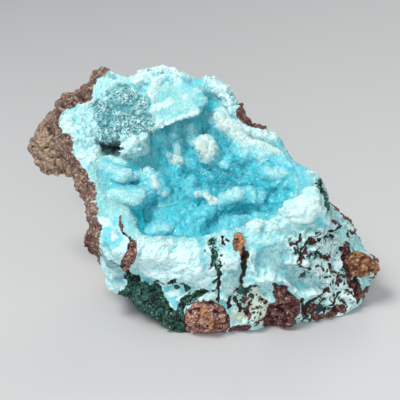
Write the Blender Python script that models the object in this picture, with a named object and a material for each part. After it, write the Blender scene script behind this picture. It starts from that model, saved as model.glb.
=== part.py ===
"""A rough chrysocolla specimen, about 100 mm long, standing on its broken foot.

The stone is a thick slab of brown matrix whose leaning face carries a pale turquoise crust, on a foot of
mixed rock. An open hollow in the face is lined by the druse, a crust of small crystals over blue mounds.
Shapes are worked out in millimetres and scaled to metres at the end.
"""
import math

import bmesh
import bpy
import numpy as np
from mathutils import Matrix, Vector, noise

MM = 0.001
CELL = 0.9

# The slab's face leans back from its lower lip. u runs right along the face, v up along it and w out of it.
FACE_ORIGIN = Vector((0.0, -20.0, 28.0))
FACE_OUT = Vector((0.08, -0.68, 0.73)).normalized()
FACE_RIGHT = (Vector((1.0, 0.0, 0.0)) - FACE_OUT * FACE_OUT.x).normalized()
FACE_UP = FACE_OUT.cross(FACE_RIGHT)

# Outline of the pale crust on the face, as (u, v), clockwise from its top left corner.
CRUST_OUTLINE = [
    (-24.5, 46.5), (-19.0, 47.5), (-16.0, 50.0), (-9.0, 51.5), (-3.0, 49.5), (4.5, 50.0), (8.0, 45.5),
    (11.0, 38.5), (17.0, 34.0), (21.5, 32.5), (26.0, 24.0), (32.5, 20.0), (35.0, 14.0), (35.0, 4.0),
    (24.0, -2.0), (8.0, -5.0), (-8.0, -6.0), (-22.0, -5.0), (-27.5, 0.0), (-27.0, 8.0), (-28.5, 13.0),
    (-32.0, 18.0), (-35.0, 25.0), (-38.5, 32.0), (-33.0, 38.0), (-29.0, 41.0),
]
CRUST_DEEP = 7.0

# Outline of the matrix slab behind the crust, and how far its two faces lie behind the slab's face.
MATRIX_OUTLINE = [
    (-32.5, 48.5), (-30.0, 52.5), (-26.0, 54.0), (-23.0, 51.0), (-8.0, 51.0), (5.0, 50.5), (10.5, 44.0),
    (14.5, 38.5), (22.0, 34.0), (29.0, 24.0), (36.0, 16.0), (36.0, 2.0), (0.0, -5.0), (-25.0, -6.0),
    (-29.0, 2.0), (-28.5, 12.0), (-34.0, 21.0), (-41.0, 32.0), (-42.0, 41.0), (-36.0, 45.5),
]
MATRIX_TOP = 4.0
MATRIX_DEEP = 25.0
BACK_TAPER = 0.80

# Corners of the convex blocks that the rest of the stone broke into, as (x, y, z).
FOOT = [
    (-27.0, -16.0, 31.0), (-15.0, -19.5, 29.0), (0.0, -22.0, 26.5), (12.0, -21.0, 26.0),
    (25.0, -15.5, 30.0), (-24.0, -17.5, 18.0), (-13.0, -22.0, 17.0), (0.0, -24.2, 18.0),
    (13.0, -23.2, 19.0), (25.0, -18.4, 20.0), (34.0, -9.0, 34.0), (36.0, 4.0, 33.0),
    (-26.0, -12.0, 11.0), (-16.0, -17.5, 4.0), (-6.0, -21.8, -1.5), (7.0, -22.0, -1.5),
    (18.0, -19.0, -1.5), (28.0, -17.0, -1.5), (40.0, -13.0, -1.5), (42.0, 8.0, -1.5),
    (34.0, 22.0, -1.5), (0.0, 27.0, -1.5), (-15.0, 20.0, -1.5), (-18.0, 6.0, -1.5), (-30.0, -2.0, 12.0),
    (-28.0, 14.0, 20.0), (-8.0, 30.0, 34.0), (22.0, 26.0, 28.0),
]
TOE = [
    (33.0, -9.0, 33.0), (44.0, -3.0, 21.5), (51.0, -4.0, 10.0), (48.0, -7.5, 5.0), (41.0, -13.0, -1.5),
    (44.0, -8.0, -1.5), (45.0, 6.0, -1.5), (47.0, 4.0, 12.0), (40.0, 8.0, 24.0), (24.0, -17.0, 0.0),
    (26.0, -15.0, 22.0), (24.0, 10.0, 10.0), (30.0, 8.0, 28.0),
]
KNOB = [
    (-42.0, 13.0, 31.0), (-47.5, 13.0, 31.5), (-49.5, 14.0, 38.0), (-49.5, 15.0, 43.5),
    (-47.5, 14.0, 48.5), (-43.0, 12.0, 51.0), (-36.0, 8.0, 50.5), (-33.0, 4.0, 36.0),
    (-36.0, 6.0, 33.0), (-47.0, 21.0, 34.0), (-47.0, 22.0, 46.0), (-38.0, 24.0, 50.0),
    (-33.0, 22.0, 34.0),
]
SPUR = [
    (-31.5, -5.0, 18.5), (-30.5, -7.0, 15.0), (-26.5, -12.0, 11.5), (-26.0, -10.0, 26.0),
    (-29.0, -3.0, 27.0), (-28.5, 0.0, 15.0), (-23.0, -4.0, 9.0), (-24.0, -6.0, 26.0),
]

# Rounded nodules and swellings that stand out of the blocks: centre (x, y, z) and radii.
LUMPS = {
    "brick_nodule": ((2.0, -19.5, 5.0), (6.4, 5.2, 5.2)),
    "cuprite_nodule": ((23.0, -15.5, 5.4), (5.4, 5.2, 6.4)),
    "orange_nodule": ((45.0, -5.0, 12.5), (4.6, 4.2, 4.6)),
    "grey_knot": ((14.0, -19.5, 4.5), (3.6, 3.4, 4.6)),
    "white_swelling": ((-8.0, -18.8, 20.5), (11.0, 5.0, 7.6)),
    "right_swelling": ((28.0, -11.5, 33.5), (6.0, 5.0, 5.2)),
    "lens_swelling": ((21.0, -16.5, 19.5), (8.0, 4.0, 5.4)),
    "left_swelling": ((-23.0, -15.8, 24.0), (4.6, 4.6, 8.0)),
    "small_nodule": ((10.6, -21.4, 26.4), (1.6, 1.8, 2.0)),
    "corner_swelling": ((-22.5, -12.5, 11.5), (4.0, 4.0, 3.6)),
    "left_heel": ((-29.6, -3.0, 20.0), (3.0, 4.0, 3.4)),
}

# Plates on the crust or leaning out over the hollow: outline (u, v), then w of the front and of the back.
PLATES = {
    "flap": (
        [(-15.5, 41.0), (-13.5, 44.7), (-8.5, 46.8), (-2.0, 46.0), (1.0, 43.0), (2.6, 40.4), (-0.7, 36.6),
         (-6.2, 34.6), (-11.1, 32.2), (-14.6, 30.4), (-17.5, 34.0)],
        1.9, -2.2,
    ),
    "white_block": (
        [(-22.3, 24.8), (-19.4, 28.2), (-14.6, 31.0), (-13.6, 25.0), (-17.5, 23.2), (-21.0, 22.4)],
        2.2, -2.6,
    ),
    "top_rim": (
        [(-19.0, 44.5), (-18.5, 47.6), (-13.0, 50.2), (-5.0, 49.6), (-3.5, 47.4), (-12.0, 46.6)],
        1.6, -3.0,
    ),
}

# The hollow's outline on the face, clockwise from its left end, running on under the flap.
HOLLOW_OUTLINE = [
    (-28.3, 18.6), (-27.1, 21.6), (-22.0, 22.8), (-17.7, 26.0), (-16.5, 31.0), (-13.0, 36.5),
    (-7.0, 39.5), (-1.0, 41.5), (2.0, 44.8), (6.2, 44.6), (8.6, 39.5), (12.0, 34.8), (16.4, 31.2),
    (20.9, 29.0), (24.2, 25.1), (26.6, 20.0), (27.6, 14.7), (26.2, 10.8), (22.4, 9.3), (18.6, 5.7),
    (14.7, 4.9), (10.7, 3.1), (5.8, 1.4), (1.3, 0.0), (-5.3, 0.6), (-10.6, -0.8), (-14.5, -1.1),
    (-17.2, 3.1), (-19.2, 7.9), (-22.9, 9.0), (-26.4, 12.9),
]
HOLLOW_DEEP = 9.0
HOLLOW_WALL = 6.5
SHELF_SHARE = 0.45
PIT = ((-25.0, 23.6, 1.0), (2.9, 2.2, 4.6))

# The druse: its least thickness, how deep its relief is made before the stone cuts it, and its mounds as
# u, v, half length, half width, the top's w and the turn in degrees.
DRUSE_THICK = 1.8
RELIEF_THICK = 5.0
RELIEF_STEP = 0.6
RELIEF_MARGIN = -1.6
SPACE_HIGH = 24.0
SPACE_STEP = 0.8
MOUNDS = [
    (-20.8, 20.6, 5.0, 3.0, -0.6, 0.0), (-18.6, 13.2, 6.6, 3.2, -0.2, 6.0),
    (-12.2, 18.6, 5.2, 3.6, -2.4, -58.0), (-7.2, 18.2, 6.4, 2.6, -4.2, 80.0),
    (-2.2, 17.4, 5.6, 2.8, -4.8, 74.0), (-10.0, 30.6, 6.2, 2.2, -4.6, 104.0),
    (-5.6, 31.6, 6.2, 2.0, -4.8, 98.0), (-1.2, 33.6, 5.6, 2.1, -4.2, 92.0),
    (-5.4, 24.4, 2.2, 1.8, -3.4, 0.0), (2.4, 28.6, 4.6, 4.3, -1.6, 0.0),
    (2.7, 14.0, 3.6, 2.0, -3.4, -46.0), (-0.7, 14.9, 1.6, 1.5, -3.8, 0.0),
    (5.2, 37.0, 4.6, 2.8, -3.6, 52.0), (10.2, 33.4, 4.4, 3.0, -1.8, -30.0),
    (15.2, 27.6, 6.0, 4.2, -1.8, -12.0), (20.6, 21.6, 4.8, 4.4, -2.0, 20.0),
    (9.2, 24.4, 4.6, 3.4, -4.0, 34.0), (13.2, 20.6, 4.0, 3.4, -4.6, 0.0),
    (10.8, 13.8, 5.8, 3.5, -3.0, 8.0), (17.0, 14.2, 4.4, 3.4, -4.4, 24.0),
    (24.2, 16.0, 4.6, 3.0, -2.2, 84.0), (-9.2, 6.8, 7.2, 3.2, -4.4, 42.0),
    (-0.6, 6.8, 7.2, 3.0, -4.2, 38.0), (8.4, 6.6, 5.4, 2.6, -3.4, 28.0),
    (15.8, 8.0, 3.8, 2.3, -3.6, 16.0), (-14.4, 13.0, 2.6, 2.4, -5.2, 0.0),
    (4.6, 20.4, 3.0, 2.4, -6.2, 30.0), (-3.0, 11.2, 3.8, 2.2, -6.0, 30.0),
    (20.4, 12.4, 2.6, 2.0, -4.4, 0.0),
]
MOUND_DEEP = 5.6
FIT_GAP = 0.3

# Weathering: size and height of ledges and lumps, then the blocky breaks and pits of the matrix.
LEDGES = ((13.0, 1.0), (6.0, 0.7), (2.9, 0.3))
BREAK_SIZE = 4.6
BREAK_HIGH = 1.1
PIT_DEEP = 1.3
CRUST_SHARE = 0.3
HOLLOW_SHARE = 0.25

# Grooves weathered along the front's veins and lump edges: a line of points, half width and depth.
GROOVES = {
    "malachite_vein": (
        [(4.8, -20.4, 27.5), (4.5, -23.4, 23.7), (5.1, -23.0, 17.8), (5.1, -22.6, 13.3), (5.7, -22.0, 8.6)],
        1.7, 1.3,
    ),
    "brown_vein": (
        [(10.0, -22.4, 27.6), (11.3, -23.2, 24.2), (10.9, -23.0, 19.0), (10.2, -22.6, 15.1),
         (7.0, -22.0, 8.1)],
        1.5, 1.3,
    ),
    "under_swelling": (
        [(-20.3, -17.6, 15.4), (-12.9, -21.2, 14.6), (-8.1, -22.4, 13.5), (1.3, -23.0, 14.5),
         (4.8, -22.6, 12.7)],
        2.2, 1.6,
    ),
    "over_lens": (
        [(15.5, -22.0, 20.8), (18.5, -21.5, 24.7), (22.6, -19.5, 25.9), (26.7, -17.7, 26.8),
         (33.3, -14.8, 28.4)],
        1.9, 1.1,
    ),
    "beside_plate": (
        [(-21.6, -18.1, 32.9), (-18.4, -21.7, 29.3), (-16.5, -23.4, 27.6), (-18.2, -22.5, 23.5),
         (-21.0, -18.3, 18.0)],
        1.4, 1.1,
    ),
    "right_notch": (
        [(33.3, -14.6, 16.2), (36.6, -11.9, 16.6), (38.6, -10.1, 17.9), (40.4, -8.7, 20.0)],
        1.9, 1.7,
    ),
    "right_vein": ([(28.1, -16.0, 28.9), (31.0, -15.3, 25.0), (35.7, -11.1, 19.9)], 1.5, 1.1),
    "low_right_vein": ([(32.3, -14.9, 13.3), (36.0, -12.9, 10.0), (40.5, -10.9, 7.3)], 1.6, 1.3),
    "under_orange_nodule": ([(39.3, -10.0, 15.7), (42.0, -8.6, 10.8), (44.4, -8.9, 6.3)], 2.0, 1.6),
    "over_cuprite_nodule": (
        [(16.8, -21.0, 10.6), (18.9, -20.0, 13.4), (23.1, -18.4, 13.6), (27.4, -16.8, 11.0),
         (30.3, -15.5, 6.0)],
        1.5, 1.3,
    ),
    "over_brick_nodule": (
        [(-4.6, -22.0, 4.6), (-2.7, -22.4, 8.7), (1.3, -23.0, 10.6), (5.9, -22.6, 9.4), (8.6, -22.0, 4.0)],
        1.6, 1.5,
    ),
    "under_right_swelling": ([(22.2, -15.3, 30.4), (26.7, -15.7, 29.4), (31.6, -14.4, 30.0)], 1.8, 1.0),
}

GROUND_SIZE = 200.0
STONE_TRIANGLES = 6000
DRUSE_TRIANGLES = 3500


def at_face(u, v, w=0.0):
    """The place, in mm, of a point given in the face's frame."""
    return FACE_ORIGIN + FACE_RIGHT * u + FACE_UP * v + FACE_OUT * w


def face_matrix():
    """Turns the face's frame into the specimen's."""
    turn = Matrix((FACE_RIGHT, FACE_UP, FACE_OUT)).transposed().to_4x4()
    return Matrix.Translation(FACE_ORIGIN) @ turn


def new_object(name, mesh):
    obj = bpy.data.objects.new(name, mesh)
    bpy.context.scene.collection.objects.link(obj)
    return obj


def object_from(name, bm):
    mesh = bpy.data.meshes.new(name)
    bm.to_mesh(mesh)
    bm.free()
    return new_object(name, mesh)


def add_slab(bm, outline, front, back, taper):
    """A prism on a closed outline in the face's frame, from one level of w back to another."""
    middle = np.mean(outline, axis=0)
    rings = []
    for w, size in ((front, 1.0), (back, taper)):
        places = [middle + (np.array(point) - middle) * size for point in outline]
        rings.append([bm.verts.new(at_face(u, v, w)) for u, v in places])
    near, far = rings
    sides = [bm.faces.new((near[i - 1], near[i], far[i], far[i - 1])) for i in range(len(outline))]
    caps = [bm.faces.new(near[::-1]), bm.faces.new(far)]
    bmesh.ops.recalc_face_normals(bm, faces=sides + caps)


def add_block(bm, corners):
    """The convex block on these corners."""
    block = bmesh.new()
    for corner in corners:
        block.verts.new(corner)
    hull = bmesh.ops.convex_hull(block, input=block.verts)
    spare = [item for item in hull["geom_interior"] if isinstance(item, bmesh.types.BMVert)]
    bmesh.ops.delete(block, geom=spare, context="VERTS")
    bmesh.ops.recalc_face_normals(block, faces=block.faces)
    add_mesh_of(bm, block)


def add_ellipsoid(bm, centre, radii, frame=Matrix.Identity(4)):
    """A rounded lump: a sphere stretched to three radii, placed in a frame."""
    place = frame @ Matrix.Translation(centre) @ Matrix.Diagonal((*radii, 1.0))
    bmesh.ops.create_icosphere(bm, subdivisions=4, radius=1.0, matrix=place)


def add_mesh_of(bm, other):
    mesh = bpy.data.meshes.new("joined")
    other.to_mesh(mesh)
    other.free()
    bm.from_mesh(mesh)
    bpy.data.meshes.remove(mesh)


def settled(obj):
    """Applies the object's modifiers to its mesh."""
    bpy.context.view_layer.update()
    graph = bpy.context.evaluated_depsgraph_get()
    mesh = bpy.data.meshes.new_from_object(obj.evaluated_get(graph))
    obj.modifiers.clear()
    obj.data = mesh
    return obj


def even_skin(obj, cell):
    """Joins overlapping blocks into one closed skin of even cells."""
    remesh = obj.modifiers.new("one_skin", "REMESH")
    remesh.mode = "VOXEL"
    remesh.voxel_size = cell
    return settled(obj)


def cut(obj, other):
    """Cuts the other object out of this one, and drops the other."""
    boolean = obj.modifiers.new("cut", "BOOLEAN")
    boolean.operation = "DIFFERENCE"
    boolean.solver = "EXACT"
    boolean.object = other
    settled(obj)
    bpy.data.objects.remove(other)
    return obj


def fewer_triangles(obj, target):
    """Collapses edges where the surface is plainest until the target count is left."""
    obj.data.calc_loop_triangles()
    decimate = obj.modifiers.new("fewer", "DECIMATE")
    decimate.ratio = target / len(obj.data.loop_triangles)
    decimate.use_collapse_triangulate = True
    return settled(obj)


def keep_largest(obj):
    """Drops loose chips, so that one closed body is left."""
    bm = bmesh.new()
    bm.from_mesh(obj.data)
    bodies, seen = [], set()
    for start in bm.verts:
        if start in seen:
            continue
        body, edge = {start}, [start]
        while edge:
            vert = edge.pop()
            for link in vert.link_edges:
                other = link.other_vert(vert)
                if other not in body:
                    body.add(other)
                    edge.append(other)
        seen |= body
        bodies.append(body)
    largest = max(bodies, key=len)
    chips = [vert for body in bodies if body is not largest for vert in body]
    bmesh.ops.delete(bm, geom=chips, context="VERTS")
    bm.to_mesh(obj.data)
    bm.free()
    return obj


def pushed(obj, distance):
    """Moves each vertex along its normal by a distance worked out from its place and normal."""
    mesh = obj.data
    for vertex, normal in [(v, v.normal.copy()) for v in mesh.vertices]:
        vertex.co += normal * distance(vertex.co.copy(), normal)
    mesh.update()
    return obj


def ramp(value, low, high):
    """0 below low, 1 above high, and smooth between."""
    share = min(1.0, max(0.0, (value - low) / (high - low)))
    return share * share * (3.0 - 2.0 * share)


def segment_distance(point, start, end):
    """Distance from a point to the straight line between two others."""
    along = end - start
    share = min(1.0, max(0.0, (point - start).dot(along) / along.length_squared))
    return (point - start - along * share).length


def depth_inside(u, v, outline):
    """Distance from (u, v) to a closed outline: above 0 inside it, below 0 outside."""
    point = Vector((u, v))
    corners = [Vector(corner) for corner in outline]
    nearest, inside = math.inf, False
    for start, end in zip(corners, corners[1:] + corners[:1]):
        nearest = min(nearest, segment_distance(point, start, end))
        if (start.y > v) != (end.y > v):
            crossing = start.x + (v - start.y) * (end.x - start.x) / (end.y - start.y)
            inside = inside != (u < crossing)
    return nearest if inside else -nearest


def hollow_level(u, v):
    """w of the druse's ground at (u, v): a bowl with a shallow shelf on its left and a low right wall."""
    depth = depth_inside(u, v, HOLLOW_OUTLINE)
    if depth < 0.0:
        return -0.4 + 3.0 * depth
    shelf = SHELF_SHARE + (1.0 - SHELF_SHARE) * ramp(u, -20.0, -14.5)
    low_right = 1.0 - 0.35 * ramp(u, 14.0, 25.0)
    return -0.4 - HOLLOW_DEEP * ramp(depth, -2.0, HOLLOW_WALL) * shelf * low_right


def druse_level(u, v):
    """w of the druse's surface at (u, v), with its mounds."""
    level = hollow_level(u, v)
    for cu, cv, half_long, half_wide, top, turn in MOUNDS:
        along = math.radians(turn)
        du, dv = u - cu, v - cv
        long_way = du * math.cos(along) + dv * math.sin(along)
        wide_way = dv * math.cos(along) - du * math.sin(along)
        out = (long_way / half_long) ** 2 + (wide_way / half_wide) ** 2
        if out < 1.0:
            level = max(level, top - MOUND_DEEP * (1.0 - math.sqrt(1.0 - out)))
    return level + noise.noise(Vector((u, v, 5.0)) / 1.9) * 0.4


def add_relief(bm, level, thick, step, margin):
    """A relief over the hollow, inside its outline by a margin: w = level(u, v) and a copy at a distance."""
    low = np.min(HOLLOW_OUTLINE, axis=0) + min(margin, 0.0) - step
    high = np.max(HOLLOW_OUTLINE, axis=0) - min(margin, 0.0) + step
    near, far = {}, {}
    for i, u in enumerate(np.arange(low[0], high[0], step)):
        for j, v in enumerate(np.arange(low[1], high[1], step)):
            if depth_inside(u, v, HOLLOW_OUTLINE) > margin:
                w = level(u, v)
                near[i, j] = bm.verts.new(at_face(u, v, w))
                far[i, j] = bm.verts.new(at_face(u, v, w + thick))
    for i, j in near:
        corners = [(i, j), (i + 1, j), (i + 1, j + 1), (i, j + 1)]
        if all(key in near for key in corners):
            bm.faces.new([near[key] for key in corners])
            bm.faces.new([far[key] for key in reversed(corners)])
    across = dict(zip(near.values(), far.values()))
    for edge in [edge for edge in bm.edges if edge.is_boundary and edge.verts[0] in across]:
        start, end = edge.verts
        bm.faces.new((start, end, across[end], across[start]))
    bmesh.ops.delete(bm, geom=[vert for vert in bm.verts if not vert.link_faces], context="VERTS")
    bmesh.ops.recalc_face_normals(bm, faces=bm.faces)


def weathering(place, normal):
    """How far the broken surface stands out or lies back at a place."""
    offset = place - FACE_ORIGIN
    u, v, depth = offset.dot(FACE_RIGHT), offset.dot(FACE_UP), -offset.dot(FACE_OUT)
    left_matrix = ramp(depth, 5.0, 8.0) * ramp(-place.x, 22.0, 27.0)
    back_matrix = ramp(depth, 6.0, 9.0) * ramp(place.y, 0.0, 6.0)
    matrix = max(left_matrix, back_matrix)
    rough = 0.0
    for size, height in LEDGES:
        rough += noise.noise(place / size + Vector((size, 3.0, 1.0))) * height
    first, second = noise.voronoi(place / BREAK_SIZE)[0][:2]
    breaks = BREAK_HIGH * (ramp(second - first, 0.0, 0.3) - 0.7)
    pits = PIT_DEEP * (ramp(first, 0.12, 0.42) - 1.0)
    rough += breaks * (CRUST_SHARE + (1.0 - CRUST_SHARE) * matrix) + pits * matrix
    in_hollow = ramp(depth, 0.5, 3.0) * ramp(depth_inside(u, v, HOLLOW_OUTLINE), -1.0, 1.0)
    grooves = 0.0
    for line, half_wide, deep in GROOVES.values():
        corners = [Vector(corner) for corner in line]
        near = min(segment_distance(place, a, b) for a, b in zip(corners, corners[1:]))
        grooves = min(grooves, -deep * (1.0 - ramp(near, 0.0, half_wide)))
    return rough * (1.0 - (1.0 - HOLLOW_SHARE) * in_hollow) + grooves


def make_stone():
    bm = bmesh.new()
    add_slab(bm, CRUST_OUTLINE, 0.0, -CRUST_DEEP, 1.0)
    add_slab(bm, MATRIX_OUTLINE, -MATRIX_TOP, -MATRIX_DEEP, BACK_TAPER)
    for corners in (FOOT, TOE, KNOB, SPUR):
        add_block(bm, corners)
    for centre, radii in LUMPS.values():
        add_ellipsoid(bm, centre, radii)
    block = even_skin(object_from("block", bm), CELL)
    cut(block, make_hollow_space())
    bm = bmesh.new()
    bm.from_mesh(block.data)
    bpy.data.objects.remove(block)
    for outline, front, back in PLATES.values():
        add_slab(bm, outline, front, back, 1.0)
    stone = even_skin(object_from("stone", bm), CELL)
    pushed(stone, weathering)
    fewer_triangles(keep_largest(stone), STONE_TRIANGLES)
    return cut(stone, make_ground())


def make_hollow_space():
    """The space of the hollow, down to the druse's underside, and of the small dark pit beside it."""
    bm = bmesh.new()
    add_relief(bm, lambda u, v: hollow_level(u, v) - DRUSE_THICK, SPACE_HIGH, SPACE_STEP, 0.0)
    add_ellipsoid(bm, *PIT, face_matrix())
    return even_skin(object_from("hollow_space", bm), CELL)


def make_ground():
    """Everything below the flat that the foot stands on."""
    bm = bmesh.new()
    below = Matrix.Translation((0, 0, -GROUND_SIZE / 2)) @ Matrix.Scale(GROUND_SIZE, 4)
    bmesh.ops.create_cube(bm, size=1.0, matrix=below)
    return object_from("ground", bm)


def make_druse(stone):
    """The crust's relief over the hollow, cut by the stone that backs it, with a gap to fit."""
    bm = bmesh.new()
    add_relief(bm, druse_level, -RELIEF_THICK, RELIEF_STEP, RELIEF_MARGIN)
    druse = fewer_triangles(object_from("druse", bm), DRUSE_TRIANGLES * 3)
    backing = new_object("stone_with_gap", stone.data.copy())
    pushed(backing, lambda place, normal: FIT_GAP)
    cut(druse, backing)
    return fewer_triangles(keep_largest(druse), DRUSE_TRIANGLES)


def finish(obj, colour, roughness):
    """Gives the solid its material and its real size in metres."""
    material = bpy.data.materials.new(obj.name)
    material.use_nodes = True
    shader = material.node_tree.nodes["Principled BSDF"]
    shader.inputs["Base Color"].default_value = (*colour, 1.0)
    shader.inputs["Roughness"].default_value = roughness
    shader.inputs["Metallic"].default_value = 0.0
    obj.data.materials.clear()
    obj.data.materials.append(material)
    obj.data.transform(Matrix.Scale(MM, 4))


for old in list(bpy.data.objects):
    bpy.data.objects.remove(old)
stone = make_stone()
druse = make_druse(stone)
finish(stone, (0.46, 0.66, 0.64), 0.75)
finish(druse, (0.16, 0.62, 0.72), 0.35)
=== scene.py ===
"""A rough chrysocolla specimen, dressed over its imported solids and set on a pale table."""

import math

import bmesh
import bpy
import numpy as np
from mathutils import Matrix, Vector, noise
from mathutils.bvhtree import BVHTree


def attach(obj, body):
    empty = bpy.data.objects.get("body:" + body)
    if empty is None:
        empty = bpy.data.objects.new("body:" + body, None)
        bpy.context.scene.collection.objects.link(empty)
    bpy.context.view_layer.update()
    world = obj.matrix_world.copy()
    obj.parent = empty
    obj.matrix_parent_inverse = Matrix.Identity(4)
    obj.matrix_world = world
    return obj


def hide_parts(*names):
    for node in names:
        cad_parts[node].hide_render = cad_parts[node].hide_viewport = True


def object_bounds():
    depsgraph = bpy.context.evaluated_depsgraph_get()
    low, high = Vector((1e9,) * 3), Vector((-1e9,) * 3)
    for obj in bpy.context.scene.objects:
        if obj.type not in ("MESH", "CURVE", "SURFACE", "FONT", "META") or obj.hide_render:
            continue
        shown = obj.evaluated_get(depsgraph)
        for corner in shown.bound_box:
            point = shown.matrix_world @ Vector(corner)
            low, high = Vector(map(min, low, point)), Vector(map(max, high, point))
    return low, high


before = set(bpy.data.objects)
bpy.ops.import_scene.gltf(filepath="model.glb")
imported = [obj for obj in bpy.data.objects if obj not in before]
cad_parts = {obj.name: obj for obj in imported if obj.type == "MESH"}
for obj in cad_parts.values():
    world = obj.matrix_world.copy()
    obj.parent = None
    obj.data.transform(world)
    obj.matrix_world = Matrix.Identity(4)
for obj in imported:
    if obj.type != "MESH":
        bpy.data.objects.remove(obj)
cad_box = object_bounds()
scene = bpy.context.scene


# The table and the light. The stone stands on a plain pale top, seen from a little above by a long lens.
# A broad soft lamp is over its left shoulder, weaker ones are round it, and a small one wakes the crystals.
PICTURE = 400
LENS = 100.0
SENSOR = 36.0
EYE_AIM = Vector((0.0, 0.0, 0.030))
EYE_FAR = 0.311
EYE_HIGH = math.radians(24.0)
TABLE_COLOUR = (0.60, 0.61, 0.62, 1.0)
LAMPS = {
    "overhead": ((-0.26, -0.22, 0.60), 0.24, 3.6, (1.0, 0.985, 0.96)),
    "right_fill": ((0.62, -0.42, 0.30), 0.60, 0.5, (0.93, 0.97, 1.0)),
    "front_fill": ((0.04, -0.80, 0.34), 0.50, 2.2, (1.0, 1.0, 1.0)),
    "spark": ((-0.10, -0.66, 0.50), 0.05, 0.6, (1.0, 1.0, 1.0)),
    "behind": ((0.25, 0.60, 0.45), 0.40, 1.2, (1.0, 0.98, 0.95)),
}

eye_back = Vector((0.0, -math.cos(EYE_HIGH), math.sin(EYE_HIGH)))
eye = bpy.data.objects.new("eye", bpy.data.cameras.new("eye"))
scene.collection.objects.link(eye)
scene.camera = eye
eye.data.lens = LENS
eye.data.sensor_width = SENSOR
eye.data.clip_start = 0.01
eye.location = EYE_AIM + eye_back * EYE_FAR
eye.rotation_euler = (math.radians(90.0) - EYE_HIGH, 0.0, 0.0)
scene.view_settings.view_transform = "Standard"

for name, (place, wide, watts, colour) in LAMPS.items():
    lamp = bpy.data.objects.new(name, bpy.data.lights.new(name, "AREA"))
    scene.collection.objects.link(lamp)
    lamp.data.size = wide
    lamp.data.energy = watts
    lamp.data.color = colour
    lamp.location = place
    lamp.rotation_euler = (EYE_AIM - Vector(place)).to_track_quat("-Z", "Y").to_euler()

sky = bpy.data.worlds.new("sky")
scene.world = sky
sky.use_nodes = True
sky.node_tree.nodes["Background"].inputs["Color"].default_value = (0.86, 0.90, 0.94, 1.0)
sky.node_tree.nodes["Background"].inputs["Strength"].default_value = 0.26

top = bmesh.new()
bmesh.ops.create_grid(top, x_segments=1, y_segments=1, size=3.0)
table_mesh = bpy.data.meshes.new("table")
top.to_mesh(table_mesh)
top.free()
table = bpy.data.objects.new("table", table_mesh)
scene.collection.objects.link(table)
table_paint = bpy.data.materials.new("table_paint")
table_paint.use_nodes = True
table_paint.node_tree.nodes["Principled BSDF"].inputs["Base Color"].default_value = TABLE_COLOUR
table_paint.node_tree.nodes["Principled BSDF"].inputs["Roughness"].default_value = 0.55
table.data.materials.append(table_paint)


# The stone. One grown block: porous brown matrix, a pale turquoise crust over its face and front, malachite
# at the lower left edge, brick-red and dark red cuprite at the foot, and thin dark veins between them.
# It was broken out by hand, so every side is a fresh or weathered fracture.
STONE_CELL = 0.00052
SMOOTH_TIMES = 9
PAST_BOX = 0.0006
RIM_REACH = 0.006
CRUST_BACK = 0.0060
FACE_ORIGIN = Vector((0.0, -0.020, 0.028))
FACE_OUT = Vector((0.08, -0.68, 0.73)).normalized()
FACE_RIGHT = (Vector((1.0, 0.0, 0.0)) - FACE_OUT * FACE_OUT.x).normalized()
FACE_UP = FACE_OUT.cross(FACE_RIGHT)
FOLD_ALONG = np.array((0.86, -0.20, 0.47))
STRAY_SEED = 1
noise.seed_set(STRAY_SEED)


def copied(node, name):
    """A merged copy of a solid, to build its dressed skin from."""
    bm = bmesh.new()
    bm.from_mesh(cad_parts[node].data)
    bmesh.ops.remove_doubles(bm, verts=bm.verts, dist=2e-6)
    mesh = bpy.data.meshes.new(name)
    bm.to_mesh(mesh)
    bm.free()
    obj = bpy.data.objects.new(name, mesh)
    scene.collection.objects.link(obj)
    return obj


def settled(obj):
    """Turns an object's modifiers into plain mesh."""
    bpy.context.view_layer.update()
    mesh = bpy.data.meshes.new_from_object(obj.evaluated_get(bpy.context.evaluated_depsgraph_get()))
    obj.modifiers.clear()
    obj.data = mesh
    return obj


def even_skin(obj, cell):
    """One closed skin of even cells over the object."""
    remesh = obj.modifiers.new("even_skin", "REMESH")
    remesh.mode = "VOXEL"
    remesh.voxel_size = cell
    return settled(obj)


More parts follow.
